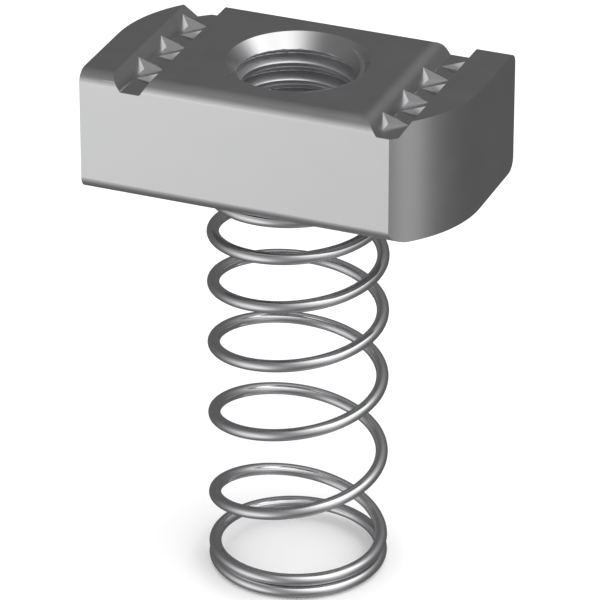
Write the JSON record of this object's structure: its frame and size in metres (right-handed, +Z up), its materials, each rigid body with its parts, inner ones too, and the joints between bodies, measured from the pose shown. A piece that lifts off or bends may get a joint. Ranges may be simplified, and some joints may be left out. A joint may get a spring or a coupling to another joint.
{
  "type": "strut spring nut",
  "caption": "Tapped rectangular channel nut with two toothed grooves across the top and a long variable-pitch coil spring under it.",
  "frame": {"origin": "centre of the bounding box at the level of the spring's foot, on the axis of the tapped hole", "axes": "+Z up along the hole's axis from the spring's foot to the toothed face, +X along the nut's long side, +Y along its short side"},
  "size_m": [0.0344, 0.0186, 0.0511],
  "materials": {
    "nut_steel": "zinc-plated steel, smooth",
    "spring_wire": "zinc-plated spring wire, drawn"
  },
  "bodies": {
    "root": {"nut_body": "nut_steel", "coil_spring": "spring_wire"}
  },
  "joints": []
}
